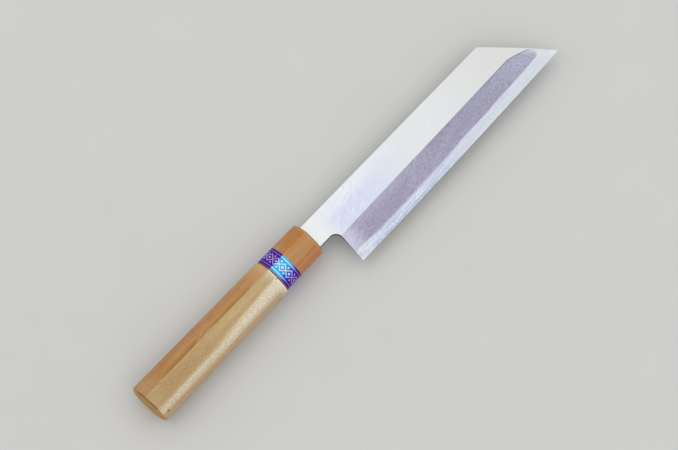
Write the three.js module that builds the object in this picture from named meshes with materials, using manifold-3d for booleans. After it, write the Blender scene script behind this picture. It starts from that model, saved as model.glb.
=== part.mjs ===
// A single-bevel Japanese peeling knife with a chestnut-section wooden handle, lying on its flat back.
// Millimetres. +X runs from the butt of the handle to the tip, +Y towards the spine of the blade,
// and +Z out of the bevelled face. The origin is the centre of the butt face.
import * as THREE from "three";
import { mergeVertices } from "three/addons/utils/BufferGeometryUtils.js";
import Module from "manifold-3d";

const wasm = await Module();
wasm.setup();

// Handle lengths
const HANDLE_LENGTH = 135; // butt face to the front face of the ferrule
const FERRULE_LENGTH = 31.4; // wood's shoulder to the front face of the ferrule
const FERRULE_FRONT_WALL = 10; // solid front of the ferrule, which the neck's slot goes through

// Handle sections: height along Y, where its middle lies along Y, depth below the axis on the back, the ridge's
// height above the axis, and how far the ridge lies from the middle on the spine's side
const BUTT_SECTION = { height: 26.8, middle: 0, back: 10.4, ridge: 11.2, offset: 2.9 };
const SHOULDER_SECTION = { height: 24.7, middle: -0.25, back: 9.8, ridge: 10.6, offset: 2.65 };
const FERRULE_REAR_SECTION = { height: 23.3, middle: 0, back: 9.2, ridge: 9.9, offset: 2.2 };
const FERRULE_FRONT_SECTION = { height: 22.8, middle: 0, back: 9, ridge: 9.7, offset: 2.1 };
const SPINE_FACET_FALL = THREE.MathUtils.degToRad(36); // slope of the short facet beside the ridge
const EDGE_FACET_FALL = THREE.MathUtils.degToRad(11); // slope of the long facet beside the ridge
const FACET_STRAIGHTNESS = 0.5; // share of a facet's width that runs straight before it rounds over
const SIDE_ROUNDNESS = 0.56; // fullness of the curves round the sides: 0.55 is an ellipse, 1 a square
const UNDERSIDE_FLAT = 4; // narrow flat along the back, on which the knife lies without rolling
const BUTT_ROUNDING = 1.6;
const SHOULDER_ROUNDING = 1;
const FERRULE_ROUNDING = 1.5;
const TENON_DEPTH = 13.2; // of the wood's spigot in the ferrule, along Z
const TENON_WALL = 1.5; // wood above and below the bore in that spigot

// Foil band round the rear of the ferrule
const BAND_WIDTH = 11.2;
const BAND_SETBACK = 0.9; // bare ferrule between the wood's shoulder and the band
const BAND_THICKNESS = 0.15;

// Blade outline
const NECK_LENGTH = 11.7; // front of the ferrule to the heel of the edge
const EDGE_LENGTH = 170; // heel to tip, along X
const HEEL_DROP = 31.8; // heel below the handle's axis
const TIP_DROP = 29.5; // tip below the handle's axis
const EDGE_BELLY = 0.6; // the edge bows out by this much at its middle
const SPINE_RISE_AT_NECK = 7.75; // spine above the axis at the ferrule
const SPINE_RISE_AT_TIP = 6.45; // spine above the axis where the slanted end begins
const END_SLANT = THREE.MathUtils.degToRad(49); // slanted end against the axis
const END_BULGE = 0.4; // the slanted end bows out by this much at its middle
const HEEL_LEAN = THREE.MathUtils.degToRad(5.4); // the heel leans back towards the handle
const NECK_DROP = 8.5; // underside of the neck below the axis
const CHOIL_RADIUS = 4.8;

// Blade thickness
const NECK_THICKNESS = 2.8;
const TIP_THICKNESS = 1.9;
const STEEL_THICKNESS = 0.78; // hard steel layer on the back
const STEEL_SETBACK = 4; // the steel starts this far in front of the ferrule
const SPINE_CHAMFER = 0.3;
const EDGE_FACET = { width: 0.5, height: 0.1 }; // the fine facet that is the cutting edge itself

// Bevel line: straight from the heel to a bend, then falling faster and faster towards the slanted end
const BEVEL_LINE_DROP = { atHeel: 12.8, atBend: 11.9 };
const BEVEL_BEND = { beforeTip: 25.2, slope: 0.22, curve: 0.0095 };

// Hollow ground into the back
const HOLLOW_DEPTH = 0.35;
const HOLLOW_RIM = 2.4; // flat land left along the edge, the spine, the end and the heel
const HOLLOW_RUNOUT = 16; // the hollow's ends fade out over this length

// Tang
const TANG_LENGTH = 100;
const SHOULDER_DEPTH = 5; // the neck keeps its full height this far into the ferrule
const TANG_FRONT_HEIGHT = 12;
const TANG_END_HEIGHT = 5;
const TANG_END_THICKNESS = 2;
const TANG_END_CHAMFER = 1.5;

// Fits
const SLOT_CLEARANCE = 0.4; // round the neck in the ferrule's slot
const GLUE_GAP = 0.15; // between the tenon and its socket, and at the wood's shoulder
const TENON_END_GAP = 0.5; // in front of the tenon, so that the wood's shoulder seats first
const FOIL_GAP = 0.05; // adhesive under the band
const BEDDING_WALL = 1; // bedding round the tang
const BEDDING_GAP = 0.15; // on either side of the bedding
const BORE_END = 3; // bore left behind the end of the tang

// Sampling
const FACET_STEPS = 10;
const LONG_FACET_STEPS = 12;
const BACK_STEPS = 12;
const FLAT_STEPS = 1;
const ROUNDING_STEPS = 4;
const HOLLOW_STEPS = 8;
const STATION_SPACING = 5; // between the blade's cross-sections
const CHOIL_STEPS = 10;
const OVERCUT = 2; // cutting bodies run past what they cut

// Places along X, from the sizes above
const shoulderX = HANDLE_LENGTH - FERRULE_LENGTH;
const ferruleRearX = shoulderX + GLUE_GAP;
const socketFloorX = HANDLE_LENGTH - FERRULE_FRONT_WALL;
const tenonFrontX = socketFloorX - TENON_END_GAP;
const heelX = HANDLE_LENGTH + NECK_LENGTH;
const tipX = heelX + EDGE_LENGTH;
const spineCornerX = tipX - (TIP_DROP + SPINE_RISE_AT_TIP) / Math.tan(END_SLANT);
const bevelBendX = tipX - BEVEL_BEND.beforeTip;
const tangEndX = HANDLE_LENGTH - TANG_LENGTH;
const neckEndX = HANDLE_LENGTH - SHOULDER_DEPTH;
const boreEndX = tangEndX - BORE_END;

// Levels along Z: the forging is centred on the handle's axis at the neck
const backPlane = -NECK_THICKNESS / 2;
const steelPlane = backPlane + STEEL_THICKNESS;

// The bore holds the tang and its bedding, and the tenon is sized round the bore.
const boreMargin = BEDDING_WALL + 2 * BEDDING_GAP;
const tenon = { height: TANG_FRONT_HEIGHT + 2 * (boreMargin + TENON_WALL), depth: TENON_DEPTH };

// Closed solid through a row of rings, each a list of [x, y, z] points with the same count.
// A ring seen from +X must run counter-clockwise, and the rings go along +X.
function loft(rings) {
  const count = rings[0].length;
  const position = rings.flat(2);
  const index = [];
  for (let ring = 0; ring < rings.length - 1; ring++) {
    for (let i = 0; i < count; i++) {
      const a = ring * count + i;
      const b = ring * count + ((i + 1) % count);
      index.push(a, b, b + count, a, b + count, a + count);
    }
  }
  const cap = (ring) => {
    const flat = ring.map(([, y, z]) => new THREE.Vector2(y, z));
    return THREE.ShapeUtils.triangulateShape(flat, []);
  };
  const last = (rings.length - 1) * count;
  cap(rings[0]).forEach(([a, b, c]) => index.push(a, c, b));
  cap(rings.at(-1)).forEach(([a, b, c]) => index.push(last + a, last + b, last + c));
  const geometry = new THREE.BufferGeometry();
  geometry.setAttribute("position", new THREE.Float32BufferAttribute(position, 3));
  geometry.setIndex(index);
  return geometry;
}

// The solid that booleans work on.
function solid(geometry) {
  const bare = geometry.clone();
  bare.deleteAttribute("normal");
  bare.deleteAttribute("uv");
  const merged = mergeVertices(bare);
  return new wasm.Manifold(
    new wasm.Mesh({
      numProp: 3,
      vertProperties: new Float32Array(merged.attributes.position.array),
      triVerts: new Uint32Array(merged.index.array),
    }),
  );
}

// A boolean's result as geometry again.
function geometryOf(made) {
  const mesh = made.getMesh();
  const geometry = new THREE.BufferGeometry();
  geometry.setAttribute("position", new THREE.BufferAttribute(mesh.vertProperties, 3));
  geometry.setIndex(new THREE.BufferAttribute(mesh.triVerts, 1));
  geometry.computeVertexNormals();
  return geometry;
}

// The chestnut section as [y, z] points: an oval with one ridge on the bevel side, between a short
// facet towards the spine and a long one towards the edge, and a narrow flat on the back.
// The inset draws it in all round.
function chestnut({ height, middle, back, ridge, offset }, inset = 0) {
  const half = height / 2 - inset;
  const under = back - inset;
  const top = ridge - inset;
  const shortRun = FACET_STRAIGHTNESS * (half - offset);
  const longRun = FACET_STRAIGHTNESS * (half + offset);
  const flat = UNDERSIDE_FLAT / 2;
  const underControl = flat + SIDE_ROUNDNESS * (half - flat);
  const curves = [
    [
      FACET_STEPS,
      [half, 0],
      [half, SIDE_ROUNDNESS * top],
      [offset + shortRun, top - shortRun * Math.tan(SPINE_FACET_FALL)],
      [offset, top],
    ],
    [
      LONG_FACET_STEPS,
      [offset, top],
      [offset - longRun, top - longRun * Math.tan(EDGE_FACET_FALL)],
      [-half, SIDE_ROUNDNESS * top],
      [-half, 0],
    ],
    [
      BACK_STEPS,
      [-half, 0],
      [-half, -SIDE_ROUNDNESS * under],
      [-underControl, -under],
      [-flat, -under],
    ],
    [FLAT_STEPS, [-flat, -under], [-flat, -under], [flat, -under], [flat, -under]],
    [
      BACK_STEPS,
      [flat, -under],
      [underControl, -under],
      [half, -SIDE_ROUNDNESS * under],
      [half, 0],
    ],
  ];
  return curves.flatMap(([steps, ...points]) => {
    const vectors = points.map(([y, z]) => new THREE.Vector2(y, z));
    const curve = new THREE.CubicBezierCurve(...vectors);
    return curve.getPoints(steps).slice(0, -1).map((p) => [p.x + middle, p.y]);
  });
}

// Section between two others, by share.
function blend(from, to, share) {
  return {
    height: THREE.MathUtils.lerp(from.height, to.height, share),
    middle: THREE.MathUtils.lerp(from.middle, to.middle, share),
    back: THREE.MathUtils.lerp(from.back, to.back, share),
    ridge: THREE.MathUtils.lerp(from.ridge, to.ridge, share),
    offset: THREE.MathUtils.lerp(from.offset, to.offset, share),
  };
}

// The same number of points as the chestnut section, on an oval, at the same bearings from the axis.
function oval({ height, depth }) {
  return chestnut(SHOULDER_SECTION).map(([y, z]) => {
    const bearing = Math.atan2(z / depth, y / height);
    return [(height / 2) * Math.cos(bearing), (depth / 2) * Math.sin(bearing)];
  });
}

// A rectangle as [y, z] points, from its four sides.
function rectangle(low, high, back, front) {
  return [
    [high, back],
    [high, front],
    [low, front],
    [low, back],
  ];
}

const ringAt = (x, section) => section.map(([y, z]) => [x, y, z]);

// Steps of a quarter-round corner: how far each ring lies from the face, and how far it is drawn in.
function quarterRound(radius) {
  return Array.from({ length: ROUNDING_STEPS + 1 }, (_, i) => {
    const angle = (i / ROUNDING_STEPS) * (Math.PI / 2);
    return { fromFace: radius * (1 - Math.cos(angle)), inset: radius * (1 - Math.sin(angle)) };
  });
}

// Thickness of the forging: tapering from the ferrule to the tip, and from the ferrule to the tang's end
function frontPlane(x) {
  const ahead = (x - HANDLE_LENGTH) / (tipX - HANDLE_LENGTH);
  const behind = (HANDLE_LENGTH - x) / TANG_LENGTH;
  const thickness =
    x > HANDLE_LENGTH
      ? THREE.MathUtils.lerp(NECK_THICKNESS, TIP_THICKNESS, ahead)
      : THREE.MathUtils.lerp(NECK_THICKNESS, TANG_END_THICKNESS, behind);
  return backPlane + thickness;
}

// Height of the tang behind the neck, with its taper
function tangHeight(x) {
  const share = (neckEndX - x) / (neckEndX - tangEndX);
  return THREE.MathUtils.lerp(TANG_FRONT_HEIGHT, TANG_END_HEIGHT, share);
}

// Lines of the blade along X
function edgeY(x) {
  const share = (x - heelX) / EDGE_LENGTH;
  const chord = -THREE.MathUtils.lerp(HEEL_DROP, TIP_DROP, share);
  return chord - 4 * EDGE_BELLY * share * (1 - share);
}

const spineY = (x) =>
  THREE.MathUtils.mapLinear(x, HANDLE_LENGTH, spineCornerX, SPINE_RISE_AT_NECK, SPINE_RISE_AT_TIP);
const endX = (y) => tipX - (y + TIP_DROP) / Math.tan(END_SLANT);
const heelLineX = (y) => heelX + (y + HEEL_DROP) * Math.tan(HEEL_LEAN);

// The bevel line rises gently to its bend, and falls along a parabola past it.
function bevelLineY(x) {
  const share = THREE.MathUtils.clamp((x - heelX) / (bevelBendX - heelX), 0, 1);
  const past = Math.max(0, x - bevelBendX);
  const drop = THREE.MathUtils.lerp(BEVEL_LINE_DROP.atHeel, BEVEL_LINE_DROP.atBend, share);
  return -drop - BEVEL_BEND.slope * past - BEVEL_BEND.curve * past * past;
}

// Depth of the hollow in the back: a shallow trough between the two lands, fading out at both ends.
function hollowDepth(x, share) {
  const y = THREE.MathUtils.lerp(edgeY(x), spineY(x), share);
  const across = 1 - (2 * share - 1) ** 2;
  const toEnd = THREE.MathUtils.smoothstep(endX(y) - HOLLOW_RIM - x, 0, HOLLOW_RUNOUT);
  const toHeel = THREE.MathUtils.smoothstep(x - heelLineX(y) - HOLLOW_RIM, 0, HOLLOW_RUNOUT);
  return HOLLOW_DEPTH * across * toEnd * toHeel;
}

// Cross-section of the whole forging at x, counter-clockwise seen from +X.
function bladeSection(x) {
  const edge = edgeY(x);
  const spine = spineY(x);
  const front = frontPlane(x);
  const back = [];
  for (let i = 0; i <= HOLLOW_STEPS; i++) {
    const share = i / HOLLOW_STEPS;
    const y = THREE.MathUtils.lerp(edge + HOLLOW_RIM, spine - HOLLOW_RIM, share);
    back.push([y, backPlane + hollowDepth(x, share)]);
  }
  return [
    [edge, backPlane],
    ...back,
    [spine - SPINE_CHAMFER, backPlane],
    [spine, backPlane + SPINE_CHAMFER],
    [spine, front - SPINE_CHAMFER],
    [spine - SPINE_CHAMFER, front],
    [bevelLineY(x), front],
    [edge + EDGE_FACET.width, backPlane + EDGE_FACET.height],
  ];
}

// Side view of the forging: slanted end, edge, heel, choil, neck, tang. It runs past the spine.
function bladeOutline() {
  const neckY = -NECK_DROP;
  const aboveSpine = SPINE_RISE_AT_NECK + OVERCUT;
  const choilY = neckY - CHOIL_RADIUS;
  const choilX = heelLineX(choilY) - CHOIL_RADIUS / Math.cos(HEEL_LEAN);
  const tangFront = TANG_FRONT_HEIGHT / 2;
  const tangEnd = TANG_END_HEIGHT / 2;
  const outline = new THREE.Shape();
  outline.moveTo(endX(aboveSpine), aboveSpine);
  outline.lineTo(neckEndX, aboveSpine);
  outline.lineTo(neckEndX, tangFront);
  outline.lineTo(tangEndX + TANG_END_CHAMFER, tangEnd);
  outline.lineTo(tangEndX, tangEnd - TANG_END_CHAMFER);
  outline.lineTo(tangEndX, -tangEnd + TANG_END_CHAMFER);
  outline.lineTo(tangEndX + TANG_END_CHAMFER, -tangEnd);
  outline.lineTo(neckEndX, -tangFront);
  outline.lineTo(neckEndX, neckY);
  outline.absarc(choilX, choilY, CHOIL_RADIUS, Math.PI / 2, -HEEL_LEAN, true);
  outline.lineTo(heelLineX(-HEEL_DROP - OVERCUT), -HEEL_DROP - OVERCUT);
  outline.lineTo(endX(-HEEL_DROP - OVERCUT), -HEEL_DROP - OVERCUT);
  outline.lineTo(tipX, -TIP_DROP);
  outline.quadraticCurveTo(
    (tipX + spineCornerX) / 2 + 2 * END_BULGE * Math.sin(END_SLANT),
    (SPINE_RISE_AT_TIP - TIP_DROP) / 2 + 2 * END_BULGE * Math.cos(END_SLANT),
    spineCornerX,
    SPINE_RISE_AT_TIP,
  );
  outline.closePath();
  return outline;
}

// The forging as one solid, before it is parted into cladding and steel
function forging() {
  const deep = NECK_THICKNESS + OVERCUT;
  const cutter = new THREE.ExtrudeGeometry(bladeOutline(), {
    depth: 2 * deep,
    bevelEnabled: false,
    curveSegments: CHOIL_STEPS,
  });
  cutter.translate(0, 0, backPlane - deep / 2);
  const span = tipX + OVERCUT - heelX;
  const count = Math.round(span / STATION_SPACING);
  const ahead = Array.from({ length: count + 1 }, (_, i) => heelX + (span * i) / count);
  const stations = [tangEndX - OVERCUT, HANDLE_LENGTH, bevelBendX, ...ahead].sort((a, b) => a - b);
  const slab = loft(stations.map((x) => ringAt(x, bladeSection(x))));
  return solid(slab).intersect(solid(cutter));
}

// Everything of the forging on the back of the steel plane, in front of the steel's rear end
function steelRegion() {
  const length = tipX + OVERCUT - HANDLE_LENGTH - STEEL_SETBACK;
  const width = 2 * (HEEL_DROP + OVERCUT);
  const depth = STEEL_THICKNESS + OVERCUT;
  const box = new THREE.BoxGeometry(length, width, depth);
  box.translate(HANDLE_LENGTH + STEEL_SETBACK + length / 2, 0, steelPlane - depth / 2);
  return solid(box);
}

// Soft cladding with the neck and the tang
function bladeBody() {
  return geometryOf(forging().subtract(steelRegion()));
}

// Hard steel along the back, which comes out on the bevel as the bright band behind the edge
function edgeSteel() {
  return geometryOf(forging().intersect(steelRegion()));
}

// Space round the tang, drawn out by a margin, from the end of the tang to a place along it
function tangSpace(margin, rearX, frontX) {
  const section = (x) => {
    const half = tangHeight(x) / 2 + margin;
    return rectangle(-half, half, backPlane - margin, frontPlane(x) + margin);
  };
  return solid(loft([ringAt(rearX, section(rearX)), ringAt(frontX, section(frontX))]));
}

// Slot in the ferrule's front wall for the neck, drawn in by a margin
function neckSlot(margin, rearX, frontX) {
  const clear = SLOT_CLEARANCE - margin;
  const section = rectangle(
    -NECK_DROP - clear,
    SPINE_RISE_AT_NECK + clear,
    backPlane - clear,
    backPlane + NECK_THICKNESS + clear,
  );
  return solid(loft([ringAt(rearX, section), ringAt(frontX, section)]));
}

// Ring of the wood's outside at x, drawn in by an inset
function woodRing(x, inset) {
  return ringAt(x, chestnut(blend(BUTT_SECTION, SHOULDER_SECTION, x / shoulderX), inset));
}

// Wooden handle: rounded butt, tapering section, shoulder, tenon, and the bore for the tang
function handleBody() {
  const butt = quarterRound(BUTT_ROUNDING);
  const shoulder = quarterRound(SHOULDER_ROUNDING).reverse();
  const rings = [
    ...butt.map(({ fromFace, inset }) => woodRing(fromFace, inset)),
    ...shoulder.map(({ fromFace, inset }) => woodRing(shoulderX - fromFace, inset)),
    ringAt(shoulderX, oval(tenon)),
    ringAt(tenonFrontX, oval(tenon)),
  ];
  const bore = tangSpace(boreMargin, boreEndX, tenonFrontX + OVERCUT);
  return geometryOf(solid(loft(rings)).subtract(bore));
}

// Ring of the ferrule's outside at x, drawn in by an inset
function ferruleRing(x, inset) {
  const share = (x - shoulderX) / FERRULE_LENGTH;
  return ringAt(x, chestnut(blend(FERRULE_REAR_SECTION, FERRULE_FRONT_SECTION, share), inset));
}

// Ferrule: a cup with a socket for the tenon and a slot for the neck
function ferrule() {
  const rounding = quarterRound(FERRULE_ROUNDING).reverse();
  const rings = [
    ferruleRing(ferruleRearX, 0),
    ...rounding.map(({ fromFace, inset }) => ferruleRing(HANDLE_LENGTH - fromFace, inset)),
  ];
  const socketSection = oval({
    height: tenon.height + 2 * GLUE_GAP,
    depth: tenon.depth + 2 * GLUE_GAP,
  });
  const socket = loft([
    ringAt(ferruleRearX - OVERCUT, socketSection),
    ringAt(socketFloorX, socketSection),
  ]);
  return geometryOf(
    solid(loft(rings))
      .subtract(solid(socket))
      .subtract(neckSlot(0, socketFloorX - OVERCUT, HANDLE_LENGTH + OVERCUT)),
  );
}

// Foil band: a thin sleeve that follows the ferrule
function labelBand() {
  const rearX = shoulderX + BAND_SETBACK;
  const frontX = rearX + BAND_WIDTH;
  const sleeve = (grown, from, to) => solid(loft([ferruleRing(from, -grown), ferruleRing(to, -grown)]));
  const outside = sleeve(FOIL_GAP + BAND_THICKNESS, rearX, frontX);
  const inside = sleeve(FOIL_GAP, rearX - OVERCUT, frontX + OVERCUT);
  return geometryOf(outside.subtract(inside));
}

// Bedding: fills the bore round the tang, and the slot as far as the neck's shoulders
function tangResin() {
  const outer = tangSpace(BEDDING_WALL + BEDDING_GAP, boreEndX + BEDDING_GAP, socketFloorX - BEDDING_GAP);
  const plug = neckSlot(BEDDING_GAP, tenonFrontX + BEDDING_GAP, neckEndX - BEDDING_GAP);
  const inner = tangSpace(BEDDING_GAP, tangEndX - BEDDING_GAP, neckEndX + OVERCUT);
  return geometryOf(outer.add(plug).subtract(inner));
}

const PIECES = [
  ["blade_body", bladeBody, { color: 0xd9d9d6, roughness: 0.35, metalness: 1 }],
  ["edge_steel", edgeSteel, { color: 0xe2e8ec, roughness: 0.22, metalness: 1 }],
  ["ferrule", ferrule, { color: 0xb9803f, roughness: 0.4, metalness: 0 }],
  ["label_band", labelBand, { color: 0x3a62c8, roughness: 0.3, metalness: 0.8 }],
  ["handle_body", handleBody, { color: 0xc79862, roughness: 0.6, metalness: 0 }],
  ["tang_resin", tangResin, { color: 0x5b4632, roughness: 0.7, metalness: 0 }],
];

const knife = new THREE.Group();
for (const [name, make, look] of PIECES) {
  const mesh = new THREE.Mesh(make(), new THREE.MeshStandardMaterial(look));
  mesh.name = name;
  knife.add(mesh);
}

export default knife;
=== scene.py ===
# A single-bevel peeling knife, made piece by piece from its blade to its handle and laid on a pale table.
# Sizes are in millimetres from the centre of the butt: +X to the tip, +Y to the spine, +Z out of the bevel.
import math

import bmesh
import bpy
import numpy as np
from mathutils import Matrix


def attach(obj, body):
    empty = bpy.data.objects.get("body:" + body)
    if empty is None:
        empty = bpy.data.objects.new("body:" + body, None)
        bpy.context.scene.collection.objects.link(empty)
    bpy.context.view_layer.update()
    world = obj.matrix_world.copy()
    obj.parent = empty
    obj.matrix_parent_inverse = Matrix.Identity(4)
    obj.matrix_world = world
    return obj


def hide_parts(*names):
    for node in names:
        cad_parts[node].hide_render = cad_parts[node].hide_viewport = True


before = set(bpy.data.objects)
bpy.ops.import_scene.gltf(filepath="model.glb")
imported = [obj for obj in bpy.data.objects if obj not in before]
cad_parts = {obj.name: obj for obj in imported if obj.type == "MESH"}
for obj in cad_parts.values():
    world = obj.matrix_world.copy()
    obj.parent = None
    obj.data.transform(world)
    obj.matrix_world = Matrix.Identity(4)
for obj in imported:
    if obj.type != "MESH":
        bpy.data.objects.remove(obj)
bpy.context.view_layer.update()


# Blade body
# Soft iron forged into a blade, a neck and a tang, with a layer of hard steel welded to its back.
# The flat is brushed satin, the bevel is hazed on a stone, and the tang sits in bedding in the handle.
MM = 0.001
FERRULE_FRONT_X = 135.0
HEEL_X, HEEL_Y = 146.7, -31.8
TIP_X, TIP_Y = 316.699, -29.5
SPINE_Y_AT_NECK, SPINE_Y_AT_END = 7.75, 6.45
EDGE_BELLY = 0.595
END_SLANT = math.radians(49)
END_BOW = 0.4
HEEL_LEAN = math.radians(5.4)
NECK_Y = -8.5
CHOIL_RADIUS = 4.8
BACK_Z, NECK_FRONT_Z, TIP_FRONT_Z = -1.4, 1.4, 0.5
WELD_Z = -0.62
STEEL_REAR_X = 139.0
BEVEL_LINE_Y_AT_HEEL, BEVEL_LINE_Y_AT_BEND = -12.8, -11.9
BEVEL_BEND_X, BEVEL_BEND_SLOPE, BEVEL_BEND_CURVE = 291.5, 0.22, 0.0095
EDGE_FACET_WIDTH, EDGE_FACET_HEIGHT = 0.5, 0.1
CLAD_ROUNDING = 0.22
END_CHAMFER_WIDTH, END_CHAMFER_DROP = 1.3, 0.1
NECK_END_X, TANG_END_X = 130.0, 35.0
TANG_FRONT_HALF, TANG_END_HALF, TANG_END_FRONT_Z = 6.0, 2.5, 0.6
SHOULDER_RAMP = 0.6
CREASE_ANGLE = math.radians(40)
HAZE_LOW_X = [147.0, 168.0, 190.0, 262.0, 298.0, 304.0]
HAZE_LOW_Y = [-25.4, -26.0, -25.8, -24.5, -23.3, -22.7]
HAZE_END_ROUNDING = 6.0
CHAMFER_ROWS, CHAMFER_ROOM, ROUNDING_ROOM = (1.7, 2.2), 0.5, 0.3
SETTLE_ROUNDS = 40
NECK_STEPS, ARC_STEPS, BEVEL_STEPS, BAND_STEPS = 12, 16, 22, 10
TANG_STATIONS, NECK_STATIONS, AHEAD_STATIONS, BLADE_STATIONS = 20, 9, 7, 150
BEVEL_LEAD, BEVEL_FALL = 0.03, 0.012
NECK_LEAD, STEEL_STEP = 2.0, 0.01
JOIN_DISTANCE, SLACK = 0.0002, 1e-6

END_X = TIP_X - (SPINE_Y_AT_END - TIP_Y) / math.tan(END_SLANT)
CHOIL_Y = NECK_Y - CHOIL_RADIUS
CHOIL_X = HEEL_X + (CHOIL_Y - HEEL_Y) * math.tan(HEEL_LEAN) - CHOIL_RADIUS / math.cos(HEEL_LEAN)
CHOIL_END_Y = CHOIL_Y - CHOIL_RADIUS * math.sin(HEEL_LEAN)


def ramp(value, low, high):
    """0 below low, 1 above high, and a cubic ease between them."""
    share = np.clip((value - low) / (high - low), 0, 1)
    return share * share * (3 - 2 * share)


def spine_y(x):
    """Straight line from the neck to the corner of the slanted end."""
    return np.interp(x, [FERRULE_FRONT_X, END_X], [SPINE_Y_AT_NECK, SPINE_Y_AT_END])


def edge_y(x):
    """Line from the heel to the tip, bowed out by a parabola."""
    share = (x - HEEL_X) / (TIP_X - HEEL_X)
    return HEEL_Y + share * (TIP_Y - HEEL_Y) - 4 * EDGE_BELLY * share * (1 - share)


def heel_x(y):
    """The heel's line, which leans back towards the handle."""
    return HEEL_X + (y - HEEL_Y) * math.tan(HEEL_LEAN)


def end_x(y):
    """The slanted end: a straight line from the tip to the spine's corner, bowed out by a parabola."""
    share = (y - TIP_Y) / (SPINE_Y_AT_END - TIP_Y)
    bow = 4 * END_BOW * share * (1 - share) / math.sin(END_SLANT)
    return TIP_X - (y - TIP_Y) / math.tan(END_SLANT) + bow


def from_end(x, y):
    """Distance back from the slanted end."""
    return (end_x(y) - x) * math.sin(END_SLANT)


def from_heel(x, y):
    """Distance ahead of the heel's line."""
    return (x - heel_x(y)) * math.cos(HEEL_LEAN)


def bevel_line_y(x):
    """Straight from the heel up to a bend, then falling along a parabola towards the slanted end."""
    straight = np.interp(x, [HEEL_X, BEVEL_BEND_X], [BEVEL_LINE_Y_AT_HEEL, BEVEL_LINE_Y_AT_BEND])
    past = np.maximum(0, x - BEVEL_BEND_X)
    return straight - BEVEL_BEND_SLOPE * past - BEVEL_BEND_CURVE * past**2


def front_z(x):
    """The front face thins in a straight line from the neck to the tip, and again along the tang."""
    places = [TANG_END_X, FERRULE_FRONT_X, TIP_X]
    return np.interp(x, places, [TANG_END_FRONT_Z, NECK_FRONT_Z, TIP_FRONT_Z])


def facet_y(x):
    """The upper line of the edge's fine facet, a fixed width above the edge."""
    return edge_y(x) + EDGE_FACET_WIDTH


def bevel_z(x, y):
    """The bevel is flat from its line on the front face down to the fine facet of the edge."""
    facet_z = BACK_Z + EDGE_FACET_HEIGHT
    share = (bevel_line_y(x) - y) / (bevel_line_y(x) - facet_y(x))
    sloped = front_z(x) + np.clip(share, 0, 1) * (facet_z - front_z(x))
    on_facet = np.clip((facet_y(x) - y) / EDGE_FACET_WIDTH, 0, 1)
    return sloped - on_facet * EDGE_FACET_HEIGHT


def weld_line_y(x):
    """Where the weld's plane comes out on the bevel."""
    share = (front_z(x) - WELD_Z) / (front_z(x) - BACK_Z - EDGE_FACET_HEIGHT)
    return bevel_line_y(x) + share * (facet_y(x) - bevel_line_y(x))


def haze_depth(x, y):
    """Distance into the haze from its lower line and from the slanted end, with a round corner between."""
    over_low = y - np.interp(x, HAZE_LOW_X, HAZE_LOW_Y)
    short_low = np.maximum(0, HAZE_END_ROUNDING - over_low)
    short_end = np.maximum(0, HAZE_END_ROUNDING - from_end(x, y))
    return HAZE_END_ROUNDING - np.hypot(short_low, short_end)


BLADE_LINES = [spine_y, lambda x: NECK_Y + 0 * x, bevel_line_y, weld_line_y, facet_y, edge_y]
NECK_ROW, BEVEL_ROW, WELD_ROW, FACET_ROW, EDGE_ROW = 1, 2, 3, 4, 5
RIM_STEPS = np.array([0, 0.04, 0.09, 0.15, 0.22, 0.4, 0.7, 1.2, 2.0, 3.0])


def row_y(row, x):
    """Height of a row that lies between two of the blade's lines: row 1.5 is halfway from line 1 to 2."""
    lines = np.stack([line(x) for line in BLADE_LINES])
    first = np.minimum(np.floor(row), len(BLADE_LINES) - 2).astype(int) + np.zeros(x.shape, int)
    upper = np.take_along_axis(lines, first[None], 0)[0]
    lower = np.take_along_axis(lines, first[None] + 1, 0)[0]
    return upper + (row - first) * (lower - upper)


def heel_side_x(y):
    """Where a row starts on the heel's side: under the neck, on the choil's arc or on the heel's line."""
    arc = CHOIL_X + np.sqrt(np.maximum(0, CHOIL_RADIUS**2 - (y - CHOIL_Y) ** 2))
    return np.where(y >= NECK_Y, CHOIL_X, np.where(y > CHOIL_END_Y, arc, heel_x(y)))


def settle(row, boundary, start):
    """The x at which each row meets a boundary, found by following the row and the boundary in turn."""
    x = np.full(row.shape, start)
    for _ in range(SETTLE_ROUNDS):
        x = boundary(row_y(row, x))
    return x


def spaced(first, last, count):
    """Even places between two rows or stations, without the last one."""
    return np.linspace(first, last, count, endpoint=False)


def blade_rows(last_row):
    """Rows from the spine to a last line, closer together at every rim, line and curve."""
    height = SPINE_Y_AT_NECK - NECK_Y
    near = RIM_STEPS[:-2] / height
    arc_end = math.asin((BEVEL_LINE_Y_AT_HEEL - CHOIL_Y) / CHOIL_RADIUS)
    on_arc = np.sin(np.linspace(math.pi / 2, arc_end, ARC_STEPS))
    arc_rows = (1 - on_arc) / (1 - on_arc[-1])
    over, under = BEVEL_ROW - BEVEL_FALL, BEVEL_ROW + BEVEL_FALL
    rows = np.concatenate([
        near,
        spaced(near[-1], 1 - near[-1], NECK_STEPS)[1:],
        1 - near[::-1],
        1 + arc_rows[1:-1],
        [BEVEL_ROW - BEVEL_LEAD, over, BEVEL_ROW, BEVEL_ROW + BEVEL_FALL / 3, under],
        spaced(BEVEL_ROW + 2 * BEVEL_FALL, WELD_ROW, BEVEL_STEPS)[1:],
        spaced(WELD_ROW, FACET_ROW, BAND_STEPS),
        [FACET_ROW, FACET_ROW + 0.5, EDGE_ROW],
    ])
    return np.unique(rows[rows <= last_row + SLACK])[:, None]


def blade_columns(left, right, count):
    """Stations along each row between its two ends, closer together at both."""
    reach = RIM_STEPS[-1]
    share = np.linspace(0, 1, count)[1:-1]
    middle = left + reach + share * (right - left - 2 * reach)
    return np.hstack([left + RIM_STEPS, middle, right - RIM_STEPS[::-1]])


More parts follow.
